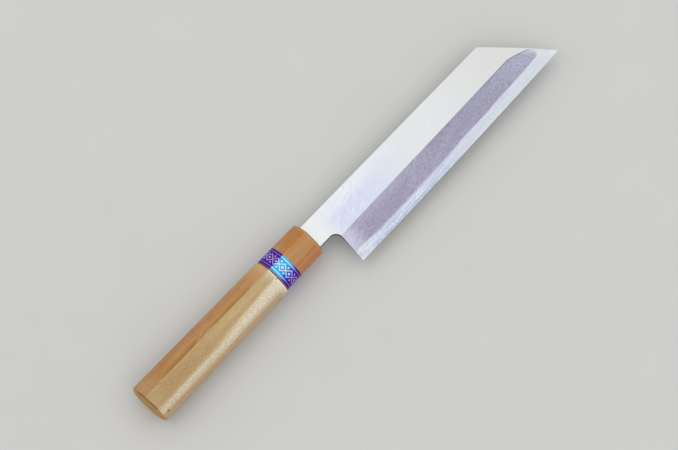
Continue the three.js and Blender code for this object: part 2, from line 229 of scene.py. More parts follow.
def neck_columns(rear_x):
    """Stations from a rear end up to the choil, with a short ramp from the tang to the neck."""
    tang = spaced(TANG_END_X, NECK_END_X - SHOULDER_RAMP, TANG_STATIONS)
    ramp_ends = [NECK_END_X - SHOULDER_RAMP, NECK_END_X]
    neck = spaced(FERRULE_FRONT_X - NECK_LEAD, STEEL_REAR_X, NECK_STATIONS)
    step = [STEEL_REAR_X - STEEL_STEP, STEEL_REAR_X]
    ahead = spaced(STEEL_REAR_X, CHOIL_X, AHEAD_STATIONS)[1:]
    stations = np.concatenate([tang, ramp_ends, neck, step, ahead])
    return np.unique(stations[stations >= rear_x])[None]


def neck_grid(rows, rear_x):
    """The neck and tang in side view: rows shared out between an upper and a lower line."""
    x = neck_columns(rear_x) + 0 * rows
    behind = (NECK_END_X - SHOULDER_RAMP - x) / (NECK_END_X - TANG_END_X)
    tang_half = TANG_FRONT_HALF + np.maximum(0, behind) * (TANG_END_HALF - TANG_FRONT_HALF)
    on_neck = np.clip((x - NECK_END_X + SHOULDER_RAMP) / SHOULDER_RAMP, 0, 1)
    upper = tang_half + on_neck * (spine_y(x) - tang_half)
    lower = -tang_half + on_neck * (NECK_Y + tang_half)
    return x, upper + rows * (lower - upper)


def rim_distance(x, y):
    """Distance to the nearest rim: the spine, slanted end, heel, choil or underside of the neck."""
    heel = np.where(y < CHOIL_END_Y, from_heel(x, y), np.inf)
    arc = np.hypot(x - CHOIL_X, y - CHOIL_Y) - CHOIL_RADIUS
    choil = np.where((x >= CHOIL_X) & (y >= CHOIL_END_Y), arc, np.inf)
    under = np.where(x < CHOIL_X, y - NECK_Y, np.inf)
    return np.maximum(0, np.minimum.reduce([spine_y(x) - y, from_end(x, y), heel, choil, under]))


def rounded(distance, radius):
    """How far a quarter round takes a face down at a distance from the rim."""
    short = np.clip(1 - distance / np.maximum(radius, SLACK), 0, 1)
    return radius * (1 - np.sqrt(1 - short**2))


class Forging:
    """A plate in side view: one grid for the blade, one for the neck, and the loop round both.

    The neck's grid ends at the blade's first column, and they share that column's points.
    """

    def __init__(self, last_row, rear_x, columns):
        rows = blade_rows(last_row)
        left = settle(rows, heel_side_x, CHOIL_X)
        right = settle(rows, end_x, END_X)
        blade_x = blade_columns(left, right, columns)
        blade_y = row_y(rows, blade_x)
        neck_rows = rows[rows[:, 0] <= NECK_ROW + SLACK]
        neck_x, neck_y = neck_grid(neck_rows, rear_x)
        self.x = np.concatenate([blade_x.ravel(), neck_x.ravel()])
        self.y = np.concatenate([blade_y.ravel(), neck_y.ravel()])
        self.row = np.concatenate([(rows + 0 * blade_x).ravel(), (neck_rows + 0 * neck_x).ravel()])
        self.rim = rim_distance(self.x, self.y)
        blade = np.arange(blade_x.size).reshape(blade_x.shape)
        neck = blade_x.size + np.arange(neck_x.size).reshape(neck_x.shape)
        neck = np.hstack([neck, blade[: len(neck_rows), :1]])
        self.quads = np.concatenate([quads_of(blade), quads_of(neck)])
        under_neck = len(neck_rows) - 1
        self.loop = np.concatenate([
            neck[0, :-1], blade[0, :-1], blade[:-1, -1], blade[-1, :0:-1],
            blade[:under_neck:-1, 0], neck[-1, :0:-1], neck[:0:-1, 0],
        ])

    def solid(self, front, back):
        """Points and faces of the plate between a front and a back height."""
        count = self.x.size
        points = np.concatenate([
            np.column_stack([self.x, self.y, front]),
            np.column_stack([self.x, self.y, back]),
        ])
        after = np.roll(self.loop, -1)
        walls = np.column_stack([self.loop, after, after + count, self.loop + count])
        return points, np.concatenate([self.quads, self.quads[:, ::-1] + count, walls])


def quads_of(index):
    """Faces of a grid of point numbers, facing +Z when rows go down and columns go forward."""
    corners = [index[:-1, :-1], index[1:, :-1], index[1:, 1:], index[:-1, 1:]]
    return np.stack(corners, -1).reshape(-1, 4)


def piece(name, points, faces, finish, node, measures=None):
    """A smooth mesh piece from points in millimetres, which stands for a node of the frame.

    Points that lie together are made one, so a face that has shrunk to a line goes.
    """
    mesh = bpy.data.meshes.new(name)
    mesh.from_pydata(points.reshape(-1, 3) * MM, [], faces.tolist())
    for measure, values in (measures or {}).items():
        mesh.attributes.new(measure, "FLOAT", "POINT").data.foreach_set("value", values)
    joined = bmesh.new()
    joined.from_mesh(mesh)
    bmesh.ops.remove_doubles(joined, verts=joined.verts, dist=JOIN_DISTANCE * MM)
    bmesh.ops.dissolve_degenerate(joined, edges=joined.edges, dist=JOIN_DISTANCE * MM)
    bmesh.ops.recalc_face_normals(joined, faces=joined.faces)
    joined.to_mesh(mesh)
    joined.free()
    mesh.polygons.foreach_set("use_smooth", [True] * len(mesh.polygons))
    mesh.set_sharp_from_angle(angle=CREASE_ANGLE)
    mesh.materials.append(finish.material)
    made = bpy.data.objects.new(name, mesh)
    bpy.context.scene.collection.objects.link(made)
    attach(made, "root")
    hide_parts(node)


def arithmetic(operation):
    """An operator of wires that adds a Math node."""
    return lambda wire, other: wire.nodes.math(operation, wire, other)


class Wire:
    """An output of a node. Arithmetic on wires and numbers adds Math nodes."""

    __add__ = __radd__ = arithmetic("ADD")
    __sub__ = arithmetic("SUBTRACT")
    __mul__ = __rmul__ = arithmetic("MULTIPLY")
    __truediv__ = arithmetic("DIVIDE")
    __pow__ = arithmetic("POWER")
    __mod__ = arithmetic("FLOORED_MODULO")

    def __init__(self, nodes, socket):
        self.nodes = nodes
        self.socket = socket

    def __rsub__(self, other):
        return self.nodes.math("SUBTRACT", other, self)

    def __abs__(self):
        return self.nodes.math("ABSOLUTE", self)


class Nodes:
    """A tree of shader nodes that are added and linked in one go."""

    def __init__(self, tree):
        self.tree = tree

    def add(self, kind, settings=None, inputs=None, output=0):
        """Any node: its settings first, then the values or wires of its sockets. Gives one output."""
        node = self.tree.nodes.new(kind)
        for setting, value in (settings or {}).items():
            setattr(node, setting, value)
        for socket, value in (inputs or {}).items():
            self.feed(node.inputs[socket], value)
        return Wire(self, node.outputs[output])

    def feed(self, socket, value):
        """A wire is linked to a socket, and a number or colour is set on it."""
        if isinstance(value, Wire):
            self.tree.links.new(value.socket, socket)
        else:
            socket.default_value = value

    def math(self, operation, *values):
        """A Math node with wires or numbers for its values."""
        return self.add("ShaderNodeMath", {"operation": operation}, dict(enumerate(values)))


class Finish(Nodes):
    """A material of nodes round one Principled shader. Lengths in it are millimetres."""

    def __init__(self, name):
        self.material = bpy.data.materials.new(name)
        self.material.use_nodes = True
        super().__init__(self.material.node_tree)
        self.shader = self.tree.nodes["Principled BSDF"]
        metres = self.add("ShaderNodeTexCoord", output="Object")
        self.place = self.add("ShaderNodeVectorMath", {"operation": "SCALE"}, {0: metres, "Scale": 1 / MM})
        self.x, self.y, self.z = (
            self.add("ShaderNodeSeparateXYZ", inputs={0: self.place}, output=axis) for axis in range(3)
        )

    def least(self, first, second):
        return self.math("MINIMUM", first, second)

    def most(self, first, second):
        return self.math("MAXIMUM", first, second)

    def mix(self, share, first, second):
        """The first colour at share 0, the second at share 1. Each is a wire or three levels up to 255."""
        low, high = (colour if isinstance(colour, Wire) else shade(*colour) for colour in (first, second))
        return self.add("ShaderNodeMix", {"data_type": "RGBA"}, {0: share, 6: low, 7: high}, 2)

    def coats(self, base, *washes):
        """A base colour with washes laid over it in turn, each a share and a colour."""
        for share, colour in washes:
            base = self.mix(share, base, colour)
        return base

    def step(self, value, low, high):
        """0 at low and 1 at high, with a cubic ease between. Low may be the larger of the two."""
        ends = {"Value": value, "From Min": low, "From Max": high}
        return self.add("ShaderNodeMapRange", {"interpolation_type": "SMOOTHSTEP"}, ends)

    def along(self, low, high):
        """A step along X."""
        return self.step(self.x, low, high)

    def stretch(self, start, full, wane, end):
        """1 between two places along X, easing in before the first and out after the second."""
        return self.along(start, full) * self.along(end, wane)

    def hill(self, value, middle, half_width):
        """1 at the middle, falling to 0 at a half width on either side."""
        return self.step(abs(value - middle), half_width, 0.0)

    def measure(self, name):
        """A length or share that is stored on the mesh's points."""
        return self.add("ShaderNodeAttribute", {"attribute_name": name}, output="Fac")

    def noise(self, length, width, depth=None, detail=2, turn=0, shift=0):
        """Noise from 0 to 1 with grains of given sizes along X, Y and Z, turned about Z by degrees."""
        angle = {"Vector": self.place, "Angle": -math.radians(turn)}
        turned = self.add("ShaderNodeVectorRotate", {"rotation_type": "Z_AXIS"}, angle)
        scale = (1 / length, 1 / width, 1 / (depth or width))
        stretch = {0: turned, 1: scale, 2: (shift, shift, shift)}
        grains = self.add("ShaderNodeVectorMath", {"operation": "MULTIPLY_ADD"}, stretch)
        return self.add("ShaderNodeTexNoise", inputs={"Vector": grains, "Scale": 1.0, "Detail": detail})

    def dress(self, bump=None, **sockets):
        """Feeds the shader's sockets by name. A bump is a height in millimetres."""
        for name, value in sockets.items():
            self.feed(self.shader.inputs[name.replace("_", " ")], value)
        if bump is not None:
            height = self.add("ShaderNodeBump", inputs={"Height": bump, "Strength": 1.0, "Distance": MM})
            self.feed(self.shader.inputs["Normal"], height)


def shade(red, green, blue):
    """A colour on the eye's scale of 0 to 255, turned into linear light."""
    levels = np.array([red, green, blue]) / 255
    linear = np.where(levels <= 0.04045, levels / 12.92, ((levels + 0.055) / 1.055) ** 2.4)
    return (*linear.tolist(), 1.0)


def ground_bevel(metal):
    """The bevel's colour, the share of haze in it and the stone's strokes, alike on both layers.

    The haze thins out near the heel and the end, and under it is the bright band along the edge.
    """
    below = metal.measure("below_line")
    from_edge = metal.measure("from_edge")
    off_end = metal.measure("from_end")
    off_heel = metal.measure("from_heel")
    in_haze = metal.measure("in_haze")
    stroke = metal.noise(1.9, 0.65, 2, detail=1, turn=36)
    fleck = metal.noise(1.4, 0.75, 2, detail=1, turn=20, shift=5)

    # Haze: cloudy violet grey in strokes, with pink flecks, darker under the bevel line past the middle
    cloud = metal.noise(20, 5, turn=8)
    clouded = metal.step(cloud, 0.35, 0.65)
    deep = metal.mix(clouded, (154, 150, 171), (160, 157, 178))
    light = metal.mix(clouded, (180, 177, 198), (188, 186, 206))
    under_line = metal.step(below, 3.5, 0.5) * metal.stretch(205, 230, 270, 283)
    middle = metal.stretch(213, 228, 270, 283)
    rear = metal.stretch(157, 165, 192, 208)
    upper = metal.step(below + (cloud - 0.5) * 4, 7, 1)
    front = metal.along(238, 262)
    blue_side = metal.step(below + (cloud - 0.5) * 6, 7.5, 4.5)
    mottled = metal.along(245, 280) * 0.65
    scoring = metal.noise(7, 1, turn=14, shift=3)
    heel_fade = metal.step(off_heel + (scoring - 0.5) * 16, 14, 1)
    haze = metal.coats(
        metal.mix(metal.step(stroke, 0.3, 0.7), deep, light),
        (metal.step(fleck, 0.52, 0.72) * 0.35, (183, 166, 185)),
        (under_line * 0.3, (146, 141, 163)),
        (middle * 0.22, (151, 151, 171)),
        (rear * upper * 0.4, (190, 188, 207)),
        (rear * (1 - upper) * 0.3, (151, 146, 170)),
        (front * blue_side * 0.4, (164, 167, 189)),
        (front * (1 - blue_side) * 0.35, (160, 154, 177)),
        (metal.along(272, 300) * 0.5, (185, 188, 208)),
        (metal.step(fleck, 0.5, 0.28) * mottled, (149, 147, 167)),
        (metal.step(fleck, 0.5, 0.72) * mottled, (195, 194, 213)),
        (heel_fade * 0.85, (209, 210, 229)),
        (metal.step(off_end, 4.5, 0.8) * 0.85, (208, 212, 228)),
    )

    # One slip of the stone near the heel
    slip_angle = math.radians(-6)
    slip_x = metal.x - 161.7
    slip_y = metal.y + 22.1
    run = slip_x * math.cos(slip_angle) + slip_y * math.sin(slip_angle)
    off = slip_y * math.cos(slip_angle) - slip_x * math.sin(slip_angle)
    on_slip = metal.step(run, -0.3, 0.5) * metal.step(run, 4.6, 3.6)
    haze = metal.coats(
        haze,
        (metal.hill(off, -0.55, 0.5) * on_slip * 0.6, (129, 121, 147)),
        (metal.hill(off, 0.0, 0.4) * on_slip * 0.6, (228, 228, 242)),
    )

    # Band: blue white and flecked, brightest at the heel, duller close to the edge in the rear half
    grain = metal.noise(12, 0.95, 1, turn=1, shift=2)
    bright = metal.hill(from_edge, 3.5, 1.8) * metal.along(225, 165)
    dull = metal.step(from_edge, 2.6, 0.6) * metal.stretch(149, 160, 212, 236)
    lined = 0.35 + metal.along(238, 205) * 0.85
    flecked = 0.2 + metal.along(240, 205) * 0.35
    band = metal.coats(
        metal.mix(metal.along(215, 250), (206, 212, 231), (211, 217, 226)),
        (bright * 0.7, (215, 221, 238)),
        (dull * 0.9, (184, 190, 211)),
        (metal.along(161, 149), (221, 224, 235)),
        (metal.step(off_end, 8, 1.5), (219, 220, 221)),
        (metal.step(grain, 0.52, 0.36) * lined * 0.5, (183, 190, 212)),
        (metal.step(grain, 0.52, 0.68) * lined * 0.5, (232, 235, 245)),
        (metal.step(fleck, 0.5, 0.72) * flecked, (235, 238, 245)),
        (metal.step(fleck, 0.48, 0.26) * flecked, (185, 191, 210)),
    )
    softness = metal.stretch(157, 166, 224, 242)
    hazed = metal.step(in_haze + (grain - 0.5) * 1.2, -0.25 - softness * 1.1, 0.55)
    return metal.mix(hazed, band, haze), hazed, stroke


def dress_layer(metal, face, roughness, relief, wall_depths, shade_x, shade_share, plain, wall_shade):
    """Dresses a layer of the blade: its faces as given, its walls plain, and painted shade on its walls at
    the choil, dark and without metal.
    """
    within = metal.least(metal.measure("under_front"), metal.measure("over_back"))
    wall = metal.step(within, *wall_depths)
    # Painted shade: the walls at the choil made dark and dull
    choil_shade = metal.along(158, shade_x) * metal.step(metal.y, 2, -4) * shade_share
    colour = metal.mix(wall, face, metal.mix(choil_shade, plain, wall_shade))
    wall_shade_share = wall * choil_shade
    metal.dress(Base_Color=colour, Metallic=1 - wall_shade_share, Roughness=roughness + wall_shade_share * 0.4)
    metal.dress(bump=relief, Specular_IOR_Level=0.05)


def iron_finish():
    """Brushed flat above the bevel line, ground bevel below it, and dark painted shade on the choil's wall.
    """
    iron = Finish("clad_iron")
    below = iron.measure("below_line")

    # Flat: near white at the neck, with a blue cast low down in front of the choil, and greyer to the end
    brushing = iron.noise(3.2, 0.6, 2, turn=34)
    drift = iron.noise(14, 7, 3, shift=6)
    cast = iron.step(iron.y + (drift - 0.5) * 5, 5.0, -4.0) * iron.along(142, 158)
    worked = iron.along(144, 156) * (0.25 + iron.along(190, 160) * 0.8)
    flat = iron.coats(
        iron.mix(iron.along(139, 153), (230, 231, 232), (225, 229, 235)),
        (cast, (209, 215, 234)),
        (iron.step(iron.x + (drift - 0.5) * 12, 168, 222), (222, 225, 226)),
        (iron.along(222, 290), (216, 216, 215)),
        (iron.step(brushing, 0.5, 0.72) * worked * 0.55, (203, 207, 225)),
        (iron.step(brushing, 0.5, 0.28) * worked * 0.6, (238, 241, 246)),
    )

    bevel, hazed, stroke = ground_bevel(iron)
    on_bevel = iron.step(below, -0.05, 0.15)
    face = iron.mix(on_bevel, flat, bevel)
    clear_of_end = iron.step(iron.measure("from_end"), 0.3, 1.4)
    burr = iron.hill(below, 0.25, 0.55) * iron.along(250, 292) * clear_of_end
    face = iron.mix(burr * 0.7, face, (108, 102, 122))
    roughness = 0.36 + on_bevel * hazed * 0.2 + (brushing - 0.5) * 0.08
    relief = brushing * 0.003 + stroke * 0.002
    dress_layer(
        iron, face, roughness, relief, wall_depths=(0.08, 0.3), shade_x=150, shade_share=1.0,
        plain=(150, 147, 146), wall_shade=(44, 26, 32),
    )
    return iron


def bevel_measures(plate, front, back):
    """Lengths that the finishes read, for a plate's front points and then its back ones."""
    depth = front - back
    seen = {
        "below_line": bevel_line_y(plate.x) - plate.y,
        "from_edge": plate.y - edge_y(plate.x),
        "from_end": from_end(plate.x, plate.y),
        "from_heel": from_heel(plate.x, plate.y),
        "in_haze": haze_depth(plate.x, plate.y),
    }
    measures = {name: np.tile(values, 2) for name, values in seen.items()}
    measures["under_front"] = np.concatenate([0 * depth, depth])
    measures["over_back"] = np.concatenate([depth, 0 * depth])
    return measures


HIDDEN = 1.0
clad = Forging(WELD_ROW, TANG_END_X, BLADE_STATIONS)
clad_top = np.maximum(bevel_z(clad.x, clad.y), WELD_Z)
clad_bottom = np.where(clad.x >= STEEL_REAR_X, WELD_Z, BACK_Z)
near_end = np.clip(1 - from_end(clad.x, clad.y) / END_CHAMFER_WIDTH, 0, 1)
chamfer = END_CHAMFER_DROP * near_end * ramp(clad.row, *CHAMFER_ROWS)
clad_room = clad_top - clad_bottom
clad_front = clad_top - np.minimum(chamfer, CHAMFER_ROOM * clad_room)
clad_front = clad_front - rounded(clad.rim, np.minimum(CLAD_ROUNDING, ROUNDING_ROOM * clad_room))
clad_back = clad_bottom + np.where(clad.x < STEEL_REAR_X, rounded(clad.rim, CLAD_ROUNDING), 0)
points, faces = clad.solid(clad_front, clad_back)
clad_measures = bevel_measures(clad, clad_front, clad_back)
clad_measures["over_back"][clad.x.size :] = np.where(clad.x >= STEEL_REAR_X, HIDDEN, 0)
piece("clad_blade", points, faces, iron_finish(), "blade_body", clad_measures)


# Edge steel
# A layer of hard steel, forge-welded all over the back of the blade and ground to the cutting edge.
# It shows as a bright band along the edge, and its back is hollowed between polished lands.
HOLLOW_DEPTH, HOLLOW_RIM, HOLLOW_RUNOUT = 0.35, 2.4, 16.0
STEEL_ROUNDING = 0.12
WELD_GAP = 0.002


def hollow_depth(x, y):
    """A parabola across the back between two lands, which eases out towards the end and the heel."""
    low = edge_y(x) + HOLLOW_RIM
    high = spine_y(x) - HOLLOW_RIM
    share = np.clip((y - low) / (high - low), 0, 1)
    straight_end_x = TIP_X - (y - TIP_Y) / math.tan(END_SLANT)
    to_end = ramp(straight_end_x - HOLLOW_RIM - x, 0, HOLLOW_RUNOUT)
    to_heel = ramp(x - heel_x(y) - HOLLOW_RIM, 0, HOLLOW_RUNOUT)
    return HOLLOW_DEPTH * (1 - (2 * share - 1) ** 2) * to_end * to_heel


def steel_finish():
    """Ground bevel on the front, and a hollow lined by the wheel between polished lands on the back."""
    steel = Finish("hard_steel")
    hollow = steel.measure("hollow")
    on_back = steel.measure("on_back")
    bevel, hazed, stroke = ground_bevel(steel)
    lines = steel.noise(0.35, 14, 1, turn=-12)
    trough = steel.mix(steel.step(lines, 0.35, 0.65), (188, 191, 199), (206, 208, 214))
    in_hollow = steel.step(hollow, 0.006, 0.035)
    back = steel.mix(in_hollow, (224, 226, 230), trough)
    face = steel.mix(on_back, bevel, back)
    front_roughness = 0.36 + hazed * 0.2
    back_roughness = 0.28 + in_hollow * 0.14
    roughness = front_roughness + on_back * (back_roughness - front_roughness)
    relief = lines * on_back * in_hollow * 0.004 + stroke * 0.002
    # The choil's walls get painted shade, as on the iron
    dress_layer(
        steel, face, roughness, relief, wall_depths=(0.06, 0.2), shade_x=147, shade_share=0.9,
        plain=(160, 158, 158), wall_shade=(56, 36, 38),
    )
    return steel


layer = Forging(EDGE_ROW, STEEL_REAR_X, BLADE_STATIONS)
layer_hollow = hollow_depth(layer.x, layer.y)
on_bevel = layer.row >= WELD_ROW - SLACK
layer_top = np.where(on_bevel, bevel_z(layer.x, layer.y), WELD_Z - WELD_GAP)
layer_bottom = BACK_Z + layer_hollow
layer_room = layer_top - layer_bottom
layer_round = rounded(layer.rim, np.minimum(STEEL_ROUNDING, ROUNDING_ROOM * layer_room))
layer_front = layer_top - np.where(on_bevel, layer_round, 0)
layer_back = layer_bottom + layer_round
points, faces = layer.solid(layer_front, layer_back)
layer_measures = bevel_measures(layer, layer_front, layer_back)
layer_measures["under_front"][: layer.x.size] = np.where(on_bevel, 0, HIDDEN)
layer_measures["hollow"] = np.tile(layer_hollow, 2)
layer_measures["on_back"] = np.repeat([0.0, 1.0], layer.x.size)
piece("edge_layer", points, faces, steel_finish(), "edge_steel", layer_measures)


# Ferrule
# A moulded cup of tan resin in the handle's chestnut section, glued over the wood's tenon.
# Its front is rounded over, and a slot through its front wall lets the neck of the blade in.
FERRULE_REAR_X, SHOULDER_X, SOCKET_FLOOR_X = 103.75, 103.6, 125.0
FERRULE_REAR_SECTION, FERRULE_FRONT_SECTION = (23.3, 0.0, 9.2, 9.9, 2.2), (22.8, 0.0, 9.0, 9.7, 2.1)
FERRULE_ROUNDING, FERRULE_REAR_ROUNDING = 1.5, 0.25
FERRULE_RIDGE_Y = 2.15
SPINE_FACET_FALL, EDGE_FACET_FALL = math.tan(math.radians(36)), math.tan(math.radians(11))
FACET_STRAIGHTNESS, SIDE_ROUNDNESS = 0.5, 0.56
UNDERSIDE_FLAT = 4.0
RIDGE_SOFTNESS = 0.6
SPINE_STEPS, CROWN_STEPS, EDGE_STEPS, BACK_STEPS, FLAT_STEPS = 40, 8, 48, 28, 8
RIM_CLEARANCE, SIDE_STATIONS = 0.3, 17
TENON_HEIGHT, TENON_DEPTH, GLUE_GAP = 17.6, 13.2, 0.15
SLOT_LOW_Y, SLOT_HIGH_Y, SLOT_HALF_Z, SLOT_MOUTH = -8.9, 8.15, 1.8, 0.2
BAND_REAR_X = 104.5


def bezier(share, *controls):
    """De Casteljau's curve: neighbours are blended by the share, again and again, until one is left."""
    while len(controls) > 1:
        controls = [first + share * (last - first) for first, last in zip(controls, controls[1:])]
    return controls[0]


def chestnut(height, middle, back, ridge, offset, inset):
    """Handle sections as rings of (y, z), one ring per given size.

    Each is an oval of cubic curves, with a ridge on the front between a short facet and a long one,
    softened by a parabola, and a narrow flat on the back. The offset is the ridge's place along Y.
    """
    half = height / 2 - inset
    under = back - inset
    top = ridge - inset
    short_run = FACET_STRAIGHTNESS * (half - offset)
    long_run = FACET_STRAIGHTNESS * (half + offset)
    flat = UNDERSIDE_FLAT / 2
    pull = flat + SIDE_ROUNDNESS * (half - flat)

    def at(y, z):
        return np.stack(np.broadcast_arrays(y + middle, z + 0 * half), -1)[:, None]

    def along(steps, first=0.0, last=1.0):
        return np.linspace(first, last, steps, endpoint=False)[None, :, None]

    spine_side, edge_side, crown = at(half, 0), at(-half, 0), at(offset, top)
    spine_facet = [
        spine_side, at(half, SIDE_ROUNDNESS * top),
        at(offset + short_run, top - short_run * SPINE_FACET_FALL), crown,
    ]
    edge_facet = [
        crown, at(offset - long_run, top - long_run * EDGE_FACET_FALL),
        at(-half, SIDE_ROUNDNESS * top), edge_side,
    ]
    before = 1 - RIDGE_SOFTNESS / (3 * short_run.max())
    after = RIDGE_SOFTNESS / (3 * long_run.max())
    crown_arc = [bezier(before, *spine_facet), crown, bezier(after, *edge_facet)]
    left_back = [edge_side, at(-half, -SIDE_ROUNDNESS * under), at(-pull, -under), at(-flat, -under)]
    right_back = [at(flat, -under), at(pull, -under), at(half, -SIDE_ROUNDNESS * under), spine_side]
    return np.concatenate([
        bezier(along(SPINE_STEPS, last=before), *spine_facet),
        bezier(along(CROWN_STEPS), *crown_arc),
        bezier(along(EDGE_STEPS, first=after), *edge_facet),
        bezier(along(BACK_STEPS), *left_back),
        bezier(along(FLAT_STEPS), at(-flat, -under), at(flat, -under)),
        bezier(along(BACK_STEPS), *right_back),
    ], 1)


def rings_at(x, rings):
    """Rings of (y, z) set at their places along X."""
    return np.concatenate([np.broadcast_to(x[:, None, None], rings.shape[:2] + (1,)), rings], -1)


def tapered(x, inset, rear, front, rear_x, front_x):
    """Rings of a section that changes in a straight line from a rear place to a front one."""
    share = (x - rear_x) / (front_x - rear_x)
    sizes = [a + share * (b - a) for a, b in zip(rear, front)]
    return rings_at(x, chestnut(*sizes, inset))


def quarter_round(radius, steps=8):
    """Steps of a rounded rim: the distance from the face, and how far the ring is drawn in."""
    angle = np.linspace(0, math.pi / 2, steps + 1)
    return radius * (1 - np.cos(angle)), radius * (1 - np.sin(angle))


def between(first, last, *shares):
    """Rings at given shares of the way from one ring to another."""
    return first + np.array(shares)[:, None, None] * (last - first)


def oval(ring, x, height, depth):
    """The ring's points moved to an ellipse at their own bearings."""
    bearing = np.arctan2(ring[:, 2] / depth, ring[:, 1] / height)
    flat = np.column_stack([height / 2 * np.cos(bearing), depth / 2 * np.sin(bearing)])
    return rings_at(np.array([x]), flat[None])[0]


def rectangle(ring, x, low_y, high_y, low_z, high_z):
    """The ring's points pushed out along their bearings to a square, which is stretched to a rectangle."""
    flat = ring[:, 1:] / np.abs(ring[:, 1:]).max(0)
    square = flat / np.abs(flat).max(1, keepdims=True)
    middle = np.array([low_y + high_y, low_z + high_z]) / 2
    reach = np.array([high_y - low_y, high_z - low_z]) / 2
    return rings_at(np.array([x]), (middle + reach * square)[None])[0]


def tube_faces(rings, closed):
    """Faces between neighbouring rings. A closed tube also joins its last ring to its first."""
    index = np.arange(rings.shape[0] * rings.shape[1]).reshape(rings.shape[:2])
    beside = np.roll(index, -1, 1)
    quads = np.stack([index, beside, np.roll(beside, -1, 0), np.roll(index, -1, 0)], -1)
    return (quads if closed else quads[:-1]).reshape(-1, 4)


def ferrule_rings(x, inset=0.0):
    """The ferrule's outside at places along X."""
    return tapered(x, inset, FERRULE_REAR_SECTION, FERRULE_FRONT_SECTION, SHOULDER_X, FERRULE_FRONT_X)


def resin_finish():
    """Tan resin with streaks along its length, an orange flow over the ridge and redder sides, a spine side
    darkened partly as painted shade, a painted highlight on the front rim and painted shade on the front
    face.
    """
    resin = Finish("ferrule_resin")
    streak = resin.noise(22, 1.4)
    drift = resin.noise(40, 3.2, shift=4)
    speck = resin.noise(3, 0.55, detail=1, shift=2)
    over_ridge = resin.y - FERRULE_RIDGE_Y
    # Darker spine side: partly the resin's tone and partly painted shade
    spine_side = resin.step(over_ridge + (drift - 0.5) * 1.5, 0.0, 1.2)
    by_band = resin.step(resin.x + (drift - 0.5) * 4, 121.5, 117) * resin.step(over_ridge, 1.5, 4.5)
    flow_share = 0.6 + resin.along(118, 128) * 0.4
    flow = resin.hill(over_ridge + (streak - 0.5) * 1.6, 1.3, 2.6) * resin.step(resin.z, 2, 5) * flow_share
    stripe = resin.hill(resin.y + (drift - 0.5) * 1.5, -7.3, 1.7)
    edge_side = resin.step(resin.y, -7.2, -8.9)
    # Painted highlight on the rounded front rim
    rim = resin.along(FERRULE_FRONT_X - 2.8, FERRULE_FRONT_X - 1.4)
    # Painted shade on the front face
    front_face_shade = resin.along(FERRULE_FRONT_X - 0.7, FERRULE_FRONT_X - 0.2)
    glue_line = resin.along(BAND_REAR_X + 0.3, BAND_REAR_X - 0.1)
    colour = resin.coats(
        resin.mix(resin.step(drift, 0.35, 0.65), (178, 128, 76), (186, 137, 87)),
        (spine_side * 0.9, (175, 117, 70)),
        (by_band * 0.75, (170, 134, 94)),
        (flow, (186, 107, 17)),
        (stripe * 0.55, (168, 106, 45)),
        (edge_side * 0.85, (186, 120, 76)),
        (resin.step(streak, 0.5, 0.75) * 0.25, (164, 106, 57)),
        (resin.step(streak, 0.5, 0.25) * 0.25, (204, 159, 106)),
        (resin.step(speck, 0.55, 0.72) * 0.3, (204, 164, 115)),
        (rim * 0.5, (186, 145, 94)),
        (front_face_shade * 0.8, (149, 106, 59)),
        (glue_line * 0.85, (137, 74, 37)),
    )
    rub = resin.noise(6, 1.2, detail=3, shift=9)
    roughness = 0.4 + (rub - 0.5) * 0.2
    resin.dress(Base_Color=colour, Roughness=roughness, bump=streak * 0.012, Specular_IOR_Level=0.3)
    return resin


front_from_face, front_inset = quarter_round(FERRULE_ROUNDING)
rear_from_face, rear_inset = quarter_round(FERRULE_REAR_ROUNDING, steps=4)
side_rear = FERRULE_REAR_X + 2 * FERRULE_REAR_ROUNDING
side_front = FERRULE_FRONT_X - FERRULE_ROUNDING - RIM_CLEARANCE
side_x = np.linspace(side_rear, side_front, SIDE_STATIONS)
outside = np.concatenate([
    ferrule_rings(FERRULE_REAR_X + rear_from_face, rear_inset),
    ferrule_rings(side_x),
    ferrule_rings(FERRULE_FRONT_X - front_from_face[::-1], front_inset[::-1]),
])
slot_sides = (SLOT_LOW_Y, SLOT_HIGH_Y, -SLOT_HALF_Z, SLOT_HALF_Z)
mouth_from_face, mouth_out = quarter_round(SLOT_MOUTH, steps=3)
grown = [np.array(slot_sides) + out * np.array([-1, 1, -1, 1]) for out in mouth_out]
mouth = np.stack([
    rectangle(outside[-1], FERRULE_FRONT_X - back, *sides) for back, sides in zip(mouth_from_face, grown)
])
slot_rear = rectangle(outside[-1], SOCKET_FLOOR_X, *slot_sides)
socket_height, socket_depth = TENON_HEIGHT + 2 * GLUE_GAP, TENON_DEPTH + 2 * GLUE_GAP
socket_front = oval(outside[0], SOCKET_FLOOR_X, socket_height, socket_depth)
socket_rear = oval(outside[0], FERRULE_REAR_X, socket_height, socket_depth)
ferrule = np.concatenate([
    outside,
    between(outside[-1], mouth[0], 0.04, 0.2, 0.5, 0.8, 0.96),
    mouth,
    between(mouth[-1], slot_rear, 0.05, 0.5, 1.0),
    between(slot_rear, socket_front, 0.5, 1.0),
    between(socket_front, socket_rear, 0.5, 1.0),
    between(socket_rear, outside[0], 0.5, 0.95),
])
faces = tube_faces(ferrule, closed=True)
piece("resin_ferrule", ferrule, faces, resin_finish(), "ferrule")


# Label band
# A strip of printed metal foil, wound once round the rear of the ferrule, with its ends lapped at the back.
# The print is a chain of lozenges between two lines, on a ground whose pass from violet to cyan round the
# band is a painted glint.
BAND_WIDTH = 11.2
FOIL_THICKNESS, FOIL_LIFT, LAP_LIFT = 0.07, 0.05, 0.13
LAP_POINTS, LAP_EASE = 5, 4
BAND_STATIONS = 12
LOZENGES, LOZENGE_REACH, DOT_RISE, LINE_INSET = 12, 2.5, 2.2, 1.45
PRINT_SHIFT = 2.5
CROWN_TURN, GLINT_TURN = 0.475, 0.52


